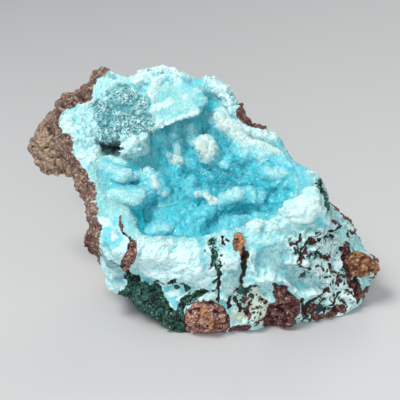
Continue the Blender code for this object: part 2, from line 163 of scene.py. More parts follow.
class Skin:
    """The points, normals and neighbours of a mesh as arrays."""

    def __init__(self, obj):
        self.obj = obj
        mesh = obj.data
        self.places = np.empty(len(mesh.vertices) * 3, np.float32)
        mesh.vertices.foreach_get("co", self.places)
        self.places = self.places.reshape(-1, 3).astype(float)
        self.edges = np.empty(len(mesh.edges) * 2, np.int32)
        mesh.edges.foreach_get("vertices", self.edges)
        self.edges = self.edges.reshape(-1, 2)
        ends = np.concatenate([self.edges[:, 0], self.edges[:, 1]])
        self.count = np.bincount(ends, minlength=len(self.places))

    def evened(self, values, times):
        """Values averaged with their neighbours', several times over."""
        a, b = self.edges.T
        for _ in range(times):
            columns = [
                np.bincount(a, column[b], len(column)) + np.bincount(b, column[a], len(column))
                for column in values.reshape(len(values), -1).T
            ]
            mean = np.stack(columns, 1) / self.count[:, None]
            values = 0.5 * values + 0.5 * mean.reshape(values.shape)
        return values

    def normals(self):
        mesh = self.obj.data
        found = np.empty(len(mesh.vertices) * 3, np.float32)
        mesh.vertices.foreach_get("normal", found)
        return found.reshape(-1, 3).astype(float)

    def standing_out(self, times, reach):
        """How far each point stands out of its evened surroundings, 0.5 for level ground."""
        out = ((self.places - self.evened(self.places, times)) * self.normals()).sum(1)
        return 0.5 + 0.5 * out / reach

    def tree(self):
        faces = [list(p.vertices) for p in self.obj.data.polygons]
        return BVHTree.FromPolygons(self.places.tolist(), faces)

    def set_places(self, places):
        self.places = places
        self.obj.data.vertices.foreach_set("co", places.astype(np.float32).ravel())
        self.obj.data.update()

    def set_colours(self, name, *channels):
        """Keeps up to four shares per point, for the material to read."""
        shares = np.zeros((len(self.places), 4), np.float32)
        for i, channel in enumerate(channels):
            shares[:, i] = np.clip(channel, 0.0, 1.0)
        layer = self.obj.data.color_attributes.new(name, "FLOAT_COLOR", "POINT")
        layer.data.foreach_set("color", shares.ravel())


def ramp(values, low, high):
    share = np.clip((values - low) / (high - low), 0.0, 1.0)
    return share * share * (3.0 - 2.0 * share)


def wave(places, size, shift=0.0):
    """Smooth swellings of this size, about 0."""
    return np.array([noise.noise(Vector(p)) for p in places / size + shift])


def billow(places, size, octaves=3, shift=0.0):
    """Rounded lobes parted by sharp creases, about 0."""
    found = [noise.turbulence(Vector(p), octaves, True) for p in places / size + shift]
    return np.array(found) - 0.40


def jagged(places, size, octaves=4, shift=0.0):
    """Broken, rocky unevenness, about 0."""
    return np.array([noise.fractal(Vector(p), 0.8, 2.1, octaves) for p in places / size + shift])


def drawn_out(places, along, times):
    """Places squeezed along a line, so that noise over them draws out along it."""
    return places - (places @ along)[:, None] * along * (1.0 - 1.0 / times)


def strayed(places, *strays):
    """Places moved about by noise, each stray a size and a reach in mm, so that drawn edges wander."""
    moved = places.copy()
    for size, reach in strays:
        shifts = [noise.noise_vector(Vector(p)) for p in places / (size * 0.001) + 11.0]
        moved += np.array(shifts) * reach * 0.001
    return moved


def face_frame(places):
    """Along, up and out of the leaning face, for places."""
    offset = places - np.array(FACE_ORIGIN)
    return offset @ np.array(FACE_RIGHT), offset @ np.array(FACE_UP), offset @ np.array(FACE_OUT)


def seen_at(tree, px, py):
    """The place on a surface that shows at this point of the picture."""
    span = SENSOR / LENS / PICTURE
    ahead, up = -eye_back, Vector((0.0, math.sin(EYE_HIGH), math.cos(EYE_HIGH)))
    ray = ahead + Vector(((px - PICTURE / 2) * span, 0.0, 0.0)) + up * ((PICTURE / 2 - py) * span)
    hit = tree.ray_cast(eye.location, ray.normalized())[0]
    return None if hit is None else np.array(hit)


def strokes(tree, places, lines):
    """Share of each place that drawn lines cover: 1 on a line, 0 at its half width in mm."""
    share = np.zeros(len(places))
    for half_wide, line in lines:
        found = [p for p in (seen_at(tree, *point) for point in line) if p is not None]
        for start, end in zip(found, found[1:] or found):
            along = end - start
            how_far = np.clip((places - start) @ along / max(along @ along, 1e-12), 0.0, 1.0)
            away = np.linalg.norm(places - start - how_far[:, None] * along, axis=1)
            share = np.maximum(share, 1.0 - away / (half_wide * 0.001))
    return share


def within(places, outline):
    """How far places are inside an outline drawn in the picture, in mm, less than 0 outside it."""
    offset = places - np.array(eye.location)
    away = offset @ np.array(-eye_back)
    span = SENSOR / LENS / PICTURE
    px = PICTURE / 2 + offset[:, 0] / away / span
    py = PICTURE / 2 - (offset @ np.array((0.0, math.sin(EYE_HIGH), math.cos(EYE_HIGH)))) / away / span
    inside, nearest = np.zeros(len(places), bool), np.full(len(places), 1e9)
    for (x0, y0), (x1, y1) in zip(outline, outline[1:] + outline[:1]):
        crosses = (y0 > py) != (y1 > py)
        inside ^= crosses & (px < x0 + (py - y0) * (x1 - x0) / ((y1 - y0) or 1e-9))
        along_x, along_y = x1 - x0, y1 - y0
        how_far = ((px - x0) * along_x + (py - y0) * along_y) / (along_x**2 + along_y**2)
        how_far = np.clip(how_far, 0.0, 1.0)
        nearest = np.minimum(nearest, np.hypot(px - x0 - how_far * along_x, py - y0 - how_far * along_y))
    return np.where(inside, nearest, -nearest) * span * EYE_FAR * 1000.0


def areas(places, outlines):
    """Share of each place for areas drawn in the picture: 0.4 on an outline, 1 from 0.9 mm inside it."""
    share = np.zeros(len(places))
    for outline in outlines:
        share = np.maximum(share, 0.4 + within(places, outline) / 1.5)
    return share


stone = even_skin(copied("stone", "stone_skin"), STONE_CELL)
skin = Skin(stone)
skin.set_places(skin.evened(skin.places, SMOOTH_TIMES))
stone_tree = skin.tree()
ground = skin.places.copy()

# Where the brown matrix shows in the picture, left of and above the crust.
MATRIX_VIEWS = [
    [(0, 0), (118, 0), (112, 66), (108, 72), (100, 77), (93, 84), (92, 100), (76, 104), (61, 112),
     (59, 128), (71, 140), (72, 152), (80, 165), (90, 180), (98, 194), (99, 222), (99, 240), (100, 258),
     (99, 266), (84, 330), (0, 320)],
    [(238, 106), (236, 116), (241, 123), (251, 127), (262, 128), (276, 132), (300, 118), (262, 70)],
    [(333, 190), (337, 207), (345, 215), (355, 224), (367, 234), (375, 248), (384, 262), (400, 262),
     (400, 190)],
]
# Where the crust covers the front in the picture, down to the table.
CRUST_VIEW = [
    (104, 214), (200, 190), (322, 184), (332, 200), (342, 216), (356, 229), (366, 239), (371, 256),
    (373, 280), (362, 290), (364, 316), (330, 330), (250, 345), (190, 350), (120, 310), (101, 268),
    (100, 230),
]
# Whole areas of ore in the picture: the green edge at the lower left, the brick nodules, the red lump.
MALACHITE_VIEWS = [
    [(124, 271), (134, 277), (143, 281), (149, 286), (160, 286), (163, 296), (168, 303), (175, 311),
     (183, 315), (184, 323), (191, 328), (197, 337), (190, 350), (160, 340), (118, 305), (117, 292),
     (126, 290)],
]
CUPRITE_VIEWS = [
    [(272, 283), (285, 286), (292, 295), (302, 306), (297, 315), (291, 328), (275, 332), (264, 328),
     (264, 315), (267, 305), (272, 299)],
]
BRICK_VIEWS = [
    [(184, 318), (186, 308), (194, 302), (203, 298), (214, 301), (222, 306), (229, 316), (230, 326),
     (222, 336), (205, 338), (192, 336), (185, 328)],
    [(131, 239), (136, 243), (136, 252), (132, 263), (128, 271), (124, 272), (120, 266), (126, 253)],
]
WINDOW_VIEWS = [
    [(101, 227), (106, 225), (114, 229), (121, 232), (123, 240), (119, 247), (110, 251), (103, 246)],
    [(163, 287), (175, 286), (186, 290), (188, 296), (182, 302), (177, 309), (170, 303), (165, 296)],
]
# Lines drawn over the picture, each with its half width in mm, where the stone's minerals crop out.
MALACHITE = [
    (1.2, [(170, 282), (178, 284), (185, 287), (189, 292), (197, 292), (203, 289), (208, 292)]),
    (1.8, [(187, 303), (193, 297), (201, 292)]), (1.7, [(178, 312), (183, 305), (187, 298)]),
    (0.8, [(150, 285), (158, 282), (168, 285), (176, 288)]), (2.0, [(184, 314), (190, 328), (200, 334)]),
    (1.4, [(214, 243), (217, 252), (215, 262)]), (0.9, [(216, 266), (216, 276), (214, 288)]),
    (1.5, [(321, 184), (323, 194), (326, 204), (331, 212)]), (0.8, [(296, 249), (303, 256), (310, 254)]),
    (0.7, [(312, 258), (318, 256)]), (1.2, [(240, 288), (243, 292)]), (1.0, [(360, 277), (370, 277)]),
]
CUPRITE = [
    (0.8, [(121, 217), (123, 221)]), (0.8, [(124, 224), (126, 229)]), (0.9, [(127, 231), (129, 237)]),
    (0.9, [(224, 240), (229, 246), (232, 248)]), (1.6, [(246, 296), (247, 297)]),
    (1.3, [(260, 298), (262, 299)]), (1.6, [(246, 310), (246, 315)]),
    (2.4, [(343, 250), (344, 262), (349, 276)]), (1.6, [(311, 241), (314, 242)]),
    (2.6, [(352, 284), (358, 296), (359, 306)]), (1.9, [(326, 255), (329, 257)]),
    (1.7, [(328, 266), (330, 268)]), (2.0, [(337, 309), (340, 308)]),
    (1.5, [(338, 212), (346, 219), (353, 225), (356, 231)]), (1.2, [(346, 292), (349, 299)]),
    (1.7, [(306, 314), (311, 307)]), (1.3, [(228, 125), (230, 127)]),
    (2.6, [(92, 236), (93, 248), (90, 258)]), (1.0, [(240, 300), (241, 308)]),
    # The last stroke on this line darkens the foot's lower edge: its own dark brown, with painted shade of
    # the undercut.
    (1.2, [(252, 318), (262, 320)]), (1.8, [(232, 328), (246, 329), (262, 329)]),
    (1.1, [(333, 222), (336, 226)]), (1.4, [(334, 272), (338, 280)]),
    (1.8, [(314, 318), (328, 315), (342, 310)]),
]
IRON = [
    (2.5, [(238, 239), (240, 243)]), (1.5, [(242, 250), (244, 258)]), (4.4, [(356, 262), (364, 266)]),
    (2.6, [(372, 268), (376, 272)]), (2.2, [(363, 235), (365, 239)]), (1.8, [(213, 322), (218, 324)]),
    (1.2, [(207, 314), (209, 318)]), (1.0, [(198, 308), (201, 311)]), (1.0, [(203, 328), (207, 329)]),
]
VEINS = [
    (0.5, [(222, 238), (224, 249), (222, 260), (221, 274), (218, 288), (218, 303)]),
    (0.8, [(243, 249), (244, 256)]), (0.8, [(243, 255), (244, 272), (241, 281)]),
    (0.7, [(247, 252), (246, 258)]), (0.55, [(241, 281), (234, 291), (229, 300), (227, 309)]),
    (0.5, [(234, 295), (238, 305), (239, 311)]),
    (0.65, [(301, 249), (310, 240), (321, 234), (332, 230), (341, 228), (348, 233), (349, 242), (348, 252)]),
    (0.5, [(309, 244), (317, 241), (325, 237), (334, 236)]),
    (0.5, [(300, 234), (296, 245), (303, 256), (296, 261)]), (0.5, [(309, 258), (314, 255), (318, 251)]),
    (0.6, [(330, 262), (330, 275)]), (0.5, [(334, 205), (327, 215)]),
    (0.8, [(327, 288), (318, 295), (306, 307)]), (0.7, [(333, 303), (323, 313)]),
    (0.7, [(338, 212), (353, 224)]), (0.7, [(366, 238), (371, 246), (373, 256)]),
    (0.7, [(300, 300), (306, 312)]), (0.6, [(344, 284), (333, 302)]),
    (0.45, [(132, 262), (127, 272), (124, 280)]), (0.4, [(104, 257), (110, 261), (118, 264)]),
    (0.5, [(320, 256), (322, 268), (318, 278)]),
]
WINDOWS = [
    (1.6, [(114, 219), (116, 223)]), (2.4, [(184, 80), (190, 84), (198, 82)]),
    (1.8, [(204, 94), (208, 97)]), (1.3, [(89, 160), (91, 165)]), (2.2, [(202, 106), (214, 112)]),
    (1.6, [(364, 276), (367, 279)]), (2.0, [(258, 243), (264, 252)]),
    (2.4, [(203, 240), (209, 250), (206, 262)]), (1.8, [(228, 306), (233, 316)]),
    (2.0, [(318, 220), (326, 226)]), (1.6, [(308, 232), (316, 230)]),
]
WHITES = [
    (4.2, [(140, 76), (152, 72), (166, 69), (174, 74)]), (2.4, [(155, 80), (154, 90), (150, 96)]),
    (1.2, [(124, 152), (134, 152), (144, 149)]), (2.2, [(160, 106), (156, 110)]),
    (7.5, [(150, 252), (165, 258), (185, 262), (196, 270)]), (4.5, [(150, 268), (165, 276), (190, 276)]),
    (5.5, [(288, 212), (300, 210), (312, 212)]), (3.4, [(252, 226), (264, 222), (276, 226)]),
    (2.2, [(112, 250), (120, 246)]), (2.6, [(118, 256), (122, 252)]), (1.6, [(112, 292), (122, 290)]),
    (2.4, [(111, 270), (115, 280), (121, 288)]), (2.6, [(226, 256), (230, 262)]),
    (3.0, [(64, 122), (72, 128)]), (3.4, [(82, 156), (95, 152)]),
    (1.1, [(148, 127), (160, 124), (173, 119), (186, 114), (198, 109)]),
    (2.6, [(212, 80), (220, 92), (228, 104)]), (3.4, [(316, 262), (320, 274)]),
    (3.6, [(344, 286), (350, 300), (346, 310)]), (2.2, [(330, 284), (326, 298)]),
    (3.0, [(235, 132), (250, 130), (270, 132)]), (1.6, [(286, 262), (296, 262), (306, 266), (315, 271)]),
    (1.6, [(259, 280), (275, 278), (290, 284), (303, 290), (313, 292)]),
    (3.2, [(322, 268), (328, 282), (334, 296)]), (2.6, [(352, 300), (348, 312)]),
    (2.4, [(316, 240), (328, 250), (336, 262)]), (2.0, [(310, 282), (318, 296)]),
]
WHITE_SPOTS = [
    (1.3, [(113, 234), (114, 238)]), (1.7, [(100, 221), (106, 222)]), (1.6, [(88, 158), (94, 157)]),
    (1.1, [(185, 97), (186, 97)]), (1.4, [(170, 294), (176, 291)]), (1.2, [(179, 299), (182, 298)]),
    (1.7, [(122, 147), (134, 141), (146, 136)]), (1.6, [(165, 105), (170, 101)]),
]
SPECKLES = [
    (5.4, [(122, 97), (132, 106), (138, 116), (139, 124)]), (4.6, [(108, 120), (124, 127), (134, 131)]),
    (3.0, [(103, 136), (118, 140)]), (2.8, [(99, 104), (110, 107)]), (2.4, [(122, 88), (129, 93)]),
    (3.0, [(104, 144), (116, 145)]), (1.1, [(150, 69), (160, 66), (172, 68)]),
]
GREYS = [
    (3.4, [(268, 249), (284, 252)]), (3.6, [(125, 149), (134, 145), (143, 140)]),
    (4.2, [(264, 258), (276, 260), (284, 266)]), (3.8, [(286, 272), (298, 276), (308, 282)]),
    (2.4, [(284, 232), (290, 229)]), (3.6, [(232, 278), (232, 288)]), (3.2, [(106, 262), (113, 266)]),
    (3.2, [(330, 285), (342, 290)]), (1.6, [(106, 70), (111, 74)]), (2.6, [(118, 276), (119, 282)]),
    (3.0, [(252, 298), (262, 310)]), (3.0, [(322, 244), (332, 244)]), (2.6, [(120, 156), (134, 162)]),
    (3.2, [(316, 278), (322, 290)]),
]
# A small pit in the crust; its near-black colour is painted shade.
SHADED_HOLE = [(1.6, [(104, 146), (108, 149)]), (3.0, [(110, 149), (115, 150)]), (1.1, [(116, 148), (120, 151)])]
GRAINY = [
    (9.0, [(74, 120), (100, 110), (128, 98), (134, 126), (100, 140)]),
    (6.0, [(215, 82), (226, 108), (246, 128), (272, 136)]), (7.0, [(308, 246), (326, 272), (344, 300)]),
    (5.0, [(252, 300), (246, 312)]), (5.0, [(140, 80), (164, 74)]),
]
RIDGES = [
    (1.3, [(255, 279), (270, 277), (285, 280), (295, 292), (304, 301), (309, 296), (311, 291)]),
    (1.2, [(287, 261), (300, 264), (312, 271), (316, 275)]),
    (1.4, [(310, 236), (320, 229), (332, 226), (344, 225)]), (1.3, [(312, 248), (322, 241), (334, 242)]),
    (1.6, [(142, 236), (160, 240), (182, 237), (200, 235)]), (1.5, [(244, 217), (256, 212), (270, 212)]),
    (1.4, [(128, 206), (134, 218), (141, 232)]), (1.4, [(212, 296), (226, 300)]),
    (1.2, [(250, 262), (254, 272)]), (1.2, [(316, 292), (328, 280), (336, 270)]),
    (0.9, [(148, 129), (160, 125), (173, 120), (186, 115), (198, 110)]), (1.4, [(276, 200), (282, 212)]),
]
BROKEN = [
    (9.0, [(312, 252), (334, 262), (344, 284), (330, 302)]), (5.5, [(244, 296), (252, 312)]),
    (5.0, [(350, 226), (362, 240)]), (4.0, [(306, 316), (340, 310)]), (3.6, [(322, 190), (330, 208)]),
    (4.0, [(298, 246), (306, 256)]), (3.0, [(188, 296), (206, 294)]), (3.0, [(214, 246), (216, 262)]),
]
SHORES = [
    (4.2, [(158, 92), (176, 96), (192, 100), (202, 104)]), (3.8, [(162, 108), (182, 110)]),
    (6.0, [(270, 140), (282, 152), (290, 170), (292, 188)]), (5.0, [(96, 164), (98, 184), (104, 200)]),
    (4.0, [(205, 96), (214, 112), (222, 122)]), (3.5, [(128, 208), (136, 226), (146, 236)]),
    (3.5, [(160, 238), (186, 236), (212, 234)]),
]
MOSSY = [
    (4.2, [(256, 304), (262, 313)]), (0.9, [(262, 222), (263, 223)]), (0.8, [(253, 217), (254, 217)]),
    (1.6, [(241, 288), (243, 291)]), (2.4, [(236, 314), (242, 318)]), (2.0, [(252, 292), (258, 296)]),
]
SUNKEN = [(4.6, [(266, 262), (280, 268), (296, 274), (306, 280)]), (3.0, [(268, 246), (282, 254)])]
NODULES = [
    (5.0, [(196, 316), (206, 312), (216, 318)]), (4.5, [(278, 296), (288, 308), (278, 320)]),
    (4.0, [(358, 262), (370, 268)]), (4.0, [(92, 246), (92, 254)]),
]
# The neck under the knob and a shoulder at the upper right, built out past the solid by up to 2 mm.
NECK = [(5.0, [(82, 182), (88, 192), (93, 203), (95, 212)]), (3.4, [(272, 132), (280, 138), (286, 146)])]
# The hollow's crystals run on over this part of the stone, up to its edge.
SUGARED = [(3.8, [(282, 146), (292, 158), (299, 171), (303, 182)])]
SWELLINGS = [
    (9.0, [(152, 258), (172, 262), (196, 268)]), (6.0, [(292, 214), (306, 212)]),
    (4.5, [(228, 262), (232, 286)]),
]
FOLDED = [(12.0, [(150, 258), (176, 262), (198, 268)]), (9.0, [(262, 232), (296, 214), (312, 222)])]

wandering = strayed(ground, (3.4, 1.5), (1.2, 0.7))
close = strayed(ground, (2.4, 0.8), (0.9, 0.4))
slight = strayed(ground, (1.6, 0.3), (0.8, 0.2))
malachite, cuprite, iron = (strokes(stone_tree, wandering, lines) for lines in (MALACHITE, CUPRITE, IRON))
window, white, grey = (strokes(stone_tree, wandering, lines) for lines in (WINDOWS, WHITES, GREYS))
speckle, grainy, folded = (strokes(stone_tree, wandering, lines) for lines in (SPECKLES, GRAINY, FOLDED))
vein, shaded_hole, ridge = (strokes(stone_tree, close, lines) for lines in (VEINS, SHADED_HOLE, RIDGES))
broken, mossy, sunken = (strokes(stone_tree, wandering, lines) for lines in (BROKEN, MOSSY, SUNKEN))
nodule, swelling, neck = (strokes(stone_tree, close, lines) for lines in (NODULES, SWELLINGS, NECK))
shore, sugared = (strokes(stone_tree, wandering, lines) for lines in (SHORES, SUGARED))
facing = ramp(skin.normals() @ np.array(eye_back), -0.35, 0.0)
malachite = np.maximum(malachite, facing * areas(close, MALACHITE_VIEWS))
cuprite = np.maximum(cuprite, facing * areas(close, CUPRITE_VIEWS))
brick = facing * areas(slight, BRICK_VIEWS)
window = np.maximum(window, facing * areas(slight, WINDOW_VIEWS))
white_spot = strokes(stone_tree, slight, WHITE_SPOTS)
window = np.maximum(window, sugared)
white = np.maximum(white, white_spot)
window *= 1.0 - ramp(white_spot, 0.0, 0.3)
grey *= 1.0 - ramp(white_spot, 0.0, 0.3)

# How near the hollow's druse is, since the crust turns bluer towards it.
druse_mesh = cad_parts["druse"].data
druse_faces = [list(p.vertices) for p in druse_mesh.polygons]
druse_solid = BVHTree.FromPolygons([v.co for v in druse_mesh.vertices], druse_faces)
to_druse = np.array([druse_solid.find_nearest(Vector(p), RIM_REACH)[3] or RIM_REACH for p in ground])
rim = 1.0 - ramp(to_druse, 0.0008, RIM_REACH)

# The crust ends a few millimetres behind the face and a little way round the front of the foot.
_, _, out = face_frame(wandering)
behind_face = -out - CRUST_BACK
round_front = close[:, 1] + 0.0075 + 0.25 * np.maximum(close[:, 0] - 0.030, 0.0)
low = ramp(0.030 - ground[:, 2], 0.0, 0.006)
matrix = ramp((1.0 - low) * behind_face + low * round_front, -0.0007, 0.0007)
matrix *= 1.0 - facing * ramp(within(close, CRUST_VIEW), -0.3, 0.3)
matrix *= 1.0 - ramp(rim, 0.2, 0.7)
border = np.zeros(len(ground))
for outline in MATRIX_VIEWS:
    inside = within(close, outline)
    matrix = np.maximum(matrix, ramp(inside, -0.3, 0.3))
    border = np.maximum(border, facing * ramp(inside, -0.5, 0.5) * (1.0 - ramp(inside, 1.5, 4.5)))

# Relief: the matrix is broken and pitted, the crust grew in lobes and folds, the ores are granular.
GRIT_DEEP, GRIT_SIZE = 0.00022, 0.0009
FOLD_DEEP, FOLD_SIZE = 0.0026, 0.0062
LOBE_DEEP, LOBE_SIZE = 0.0014, 0.0062
GRAIN_DEEP, GRAIN_SIZE = 0.0021, 0.0024
SHARD_DEEP, SHARD_SIZE = 0.0024, 0.0036
SPLINTER_DEEP, SPLINTER_SIZE = 0.0009, 0.0015
MATRIX_DEEP, MATRIX_SIZE = 0.0016, 0.0085
PORE_DEEP, PORE_SIZE = 0.0015, 0.0021
ORE_DEEP, ORE_SIZE = 0.0016, 0.0046
VEIN_DEEP, HOLE_DEEP, SUNKEN_DEEP = 0.0006, 0.0030, 0.0006
RIDGE_OUT, NODULE_OUT, SWELLING_OUT, NECK_OUT = 0.0011, 0.0014, 0.0008, 0.0022
fine_grit = jagged(ground, GRIT_SIZE, 2) * GRIT_DEEP
folds = FOLD_DEEP * billow(drawn_out(wandering, FOLD_ALONG, 2.3), FOLD_SIZE, 3)
lobes = LOBE_DEEP * billow(ground, LOBE_SIZE, 2) + 0.0007 * billow(ground, 0.0026, 3, 5.0)
grains = GRAIN_DEEP * billow(ground, GRAIN_SIZE, 3, 9.0) + 0.0006 * wave(ground, 0.006)
share = ramp(folded, 0.0, 0.5)
crust_relief = lobes * (1.0 - share) + folds * share
share = ramp(grainy, 0.0, 0.4)
crust_relief = crust_relief * (1.0 - share) + grains * share + fine_grit
shards = billow(ground, SHARD_SIZE, 3, 2.0)
share = ramp(broken, 0.0, 0.6)
splinters = billow(ground, SPLINTER_SIZE, 2, 7.0)
crust_relief = crust_relief * (1.0 - share) + (SHARD_DEEP * shards + SPLINTER_DEEP * splinters) * share
# Creases of the broken relief, where the cracks' dark red-brown colour also carries painted shade.
clefts = np.maximum(-shards + 0.25 * wave(ground, 0.005, 4.0), -splinters - 0.10)
crack_and_shade_share = share * ramp(clefts, 0.15, 0.25)
calm = np.maximum.reduce([ramp(grey, 0.1, 0.5), ramp(window, 0.1, 0.6), 0.7 * ramp(shore, 0.1, 0.6)])
crust_relief *= 1.0 - 0.65 * calm
crust_relief += RIDGE_OUT * ramp(ridge, 0.1, 0.9) - SUNKEN_DEEP * ramp(sunken, 0.0, 0.7)
crust_relief *= 1.0 - 0.6 * ramp(rim, 0.8, 1.0)
pores = wave(wandering, PORE_SIZE, 3.0) + 0.5 * wave(ground, 0.0010, 8.0) + 0.6 * wave(ground, 0.010, 6.0)
matrix_relief = MATRIX_DEEP * jagged(ground, MATRIX_SIZE, 4) + 0.0005 * jagged(ground, 0.0016, 3, 6.0)
matrix_relief -= PORE_DEEP * ramp(pores, 0.48, 0.80)
matrix_relief += 0.0012 * splinters * border
ore_relief = ORE_DEEP * jagged(ground, ORE_SIZE, 5, 1.0) + 0.0004 * jagged(ground, 0.0011, 2)
ore_relief -= 0.0010 * ramp(-billow(ground, 0.0040, 2, 12.0), 0.14, 0.30)
relief = crust_relief + (matrix_relief - crust_relief) * matrix
ore = ramp(np.maximum.reduce([malachite, cuprite, iron, brick]), 0.25, 0.5)
relief += (ore_relief - relief) * ore
relief -= VEIN_DEEP * ramp(vein, 0.2, 0.8) + HOLE_DEEP * ramp(shaded_hole, 0.1, 0.9)
relief += 0.0004 * ramp(white, 0.2, 0.7) - 0.0004 * ramp(window, 0.2, 0.7)
built_out = NODULE_OUT * ramp(nodule, 0.0, 0.6) + SWELLING_OUT * ramp(swelling, 0.0, 0.8)
relief += built_out + NECK_OUT * ramp(neck, 0.0, 0.7)
relief *= ramp(ground[:, 2], 0.0002, 0.0016)
shaped = ground + skin.normals() * relief[:, None]
low_corner, high_corner = np.array(cad_box[0]), np.array(cad_box[1])
shaped = np.clip(shaped, low_corner - PAST_BOX, high_corner + PAST_BOX)
shaped[:, 2] = np.maximum(shaped[:, 2], 0.0)
skin.set_places(shaped)
skin.set_colours("ores", malachite, np.maximum(cuprite, brick), iron, vein)
skin.set_colours("crusts", window, white, speckle, grey)
# The two standing-out measures drive painted highlight on the crests and painted shade in the hollows; the
# pit share drives its painted shade.
skin.set_colours("rock", matrix, skin.standing_out(18, 0.0005), shaded_hole, skin.standing_out(4, 0.00018))
skin.set_colours("near", rim, crack_and_shade_share, mossy, shore)
skin.set_colours("far", brick, border, broken)
soft = ramp(np.maximum.reduce([grey, window, shore]), 0.0, 0.4) * (1.0 - matrix)
corners = np.array([list(p.vertices)[:4] for p in stone.data.polygons])
stone.data.polygons.foreach_set("use_smooth", soft[corners].mean(1) > 0.3)
stone.data.update()

# Where crumbs and the druse's crystals stray onto the crust, but not on the stone under the druse.
on_crust = (1.0 - matrix) * ramp(shaped[:, 2], 0.0006, 0.0014) * ramp(to_druse, 0.0004, 0.0007)
rimmed = np.maximum(1.0 - ramp(to_druse, 0.0018, 0.0030), ramp(sugared, 0.0, 0.4)) * on_crust
sugary = ramp(np.maximum.reduce([rim, shore * 0.4, speckle * 1.5]), 0.15, 0.7)
sugary = np.maximum(sugary, 0.35 * ramp(grainy, 0.0, 0.4)) * on_crust * (1.0 - rimmed)
for name, share in (("sugary", sugary), ("rimmed", rimmed)):
    kept = stone.data.attributes.new(name, "FLOAT", "POINT")
    kept.data.foreach_set("value", share.astype(np.float32))


class Finish:
    """A material in the making: short calls that add its nodes."""

    def __init__(self, name):
        self.material = bpy.data.materials.new(name)
        self.material.use_nodes = True
        self.tree = self.material.node_tree
        self.shader = self.tree.nodes["Principled BSDF"]
        self.places = self.tree.nodes.new("ShaderNodeTexCoord").outputs["Object"]

    def feed(self, socket, value):
        if isinstance(value, bpy.types.NodeSocket):
            self.tree.links.new(value, socket)
        else:
            socket.default_value = value

    def add(self, kind, inputs=(), **settings):
        node = self.tree.nodes.new(kind)
        for key, value in settings.items():
            setattr(node, key, value)
        for key, value in dict(inputs).items():
            self.feed(node.inputs[key], value)
        return node

    def shares(self, name):
        """The four shares that the mesh keeps under a name."""
        kept = self.add("ShaderNodeAttribute", attribute_name=name)
        parts = self.add("ShaderNodeSeparateColor", {"Color": kept.outputs["Color"]})
        return [*parts.outputs, kept.outputs["Alpha"]]

    def speck(self, size, detail=2.0):
        """Noise from 0 to 1 with spots of this size in metres."""
        inputs = {"Vector": self.places, "Scale": 1.0 / size, "Detail": detail}
        return self.add("ShaderNodeTexNoise", inputs).outputs["Fac"]

    def plus(self, a, b):
        return self.add("ShaderNodeMath", {0: a, 1: b}, operation="ADD").outputs[0]

    def times(self, a, b):
        return self.add("ShaderNodeMath", {0: a, 1: b}, operation="MULTIPLY").outputs[0]

    def step(self, value, low, high, to_low=0.0, to_high=1.0):
        inputs = {"Value": value, "From Min": low, "From Max": high, "To Min": to_low, "To Max": to_high}
        return self.add("ShaderNodeMapRange", inputs, interpolation_type="SMOOTHSTEP").outputs["Result"]

    def patch(self, share, noise, wobble=0.5, edge=0.4, soft=0.05):
        """A share made a patch with a ragged edge."""
        middle = edge + wobble * 0.5
        return self.step(self.plus(self.times(noise, wobble), share), middle - soft, middle + soft)

    def mix(self, share, a, b):
        node = self.add("ShaderNodeMix", data_type="RGBA")
        self.feed(node.inputs["Factor"], share)
        self.feed(node.inputs[6], colour(*a) if isinstance(a, tuple) else a)
        self.feed(node.inputs[7], colour(*b) if isinstance(b, tuple) else b)
        return node.outputs[2]

    def coated(self, base, *coats):
        """A colour under thin coats, each a share and a tone."""
        for share, tone in coats:
            base = self.mix(share, base, tone)
        return base


def colour(red, green, blue):
    """A colour as seen on a screen, from 0 to 255, made linear."""
    parts = [c / 255.0 for c in (red, green, blue)]
    return (*[p / 12.92 if p <= 0.04045 else ((p + 0.055) / 1.055) ** 2.4 for p in parts], 1.0)


# Each mineral's darker and lighter tone, as seen on a screen.
TURQUOISE = (156, 222, 226), (192, 236, 238)
SHOAL_TONES = (132, 208, 212), (168, 224, 225)
CHALK_TONES = (214, 245, 246), (188, 234, 238)
MISTY_TONES = (102, 164, 174), (150, 201, 207)
WINDOW_TONES = (84, 200, 220), (140, 222, 234)
CRUMB_TONES = (130, 194, 192), (214, 240, 236)
SPECKLED_TONES = (98, 174, 180), (192, 238, 239)
SPECK_TONES = (28, 62, 68), (92, 124, 138)
MOSS_TONES = (190, 210, 186), (226, 240, 230)
# The crack tones are dark red-brown crack colour with painted shade.
CRACK_AND_SHADE_TONES = (84, 44, 46), (30, 66, 66)
MATRIX_TONES = (130, 104, 90), (162, 140, 116)
# The malachite's darker tone holds painted shade as well as its own dark green.
MALACHITE_AND_SHADE_TONES = (5, 26, 22), (38, 96, 80)
CUPRITE_TONES = (66, 28, 30), (122, 74, 66)
BRICK_TONES = (112, 58, 52), (176, 122, 104)
IRON_TONES = (104, 58, 40), (182, 128, 88)
VEIN_TONES = (20, 24, 22), (66, 36, 34)
# The pit's tones are painted shade.
HOLE_SHADE_TONES = (14, 32, 38), (70, 112, 120)
rock = Finish("rock_with_painted_light")
green, red, orange, black = rock.shares("ores")
blue_window, chalk, speckled, misty = rock.shares("crusts")
brown, broad_light_and_shade, hole_shade, fine_light_and_shade = rock.shares("rock")
near_druse, crack_and_shade, moss, shoal = rock.shares("near")
bricky, edging, crumbly, _ = rock.shares("far")
fine, pepper = rock.speck(0.0005), rock.speck(0.00055, 4.0)
tiny, small = rock.speck(0.0008, 5.0), rock.speck(0.0012, 3.0)
middling, large = rock.speck(0.0028, 3.0), rock.speck(0.008, 3.0)

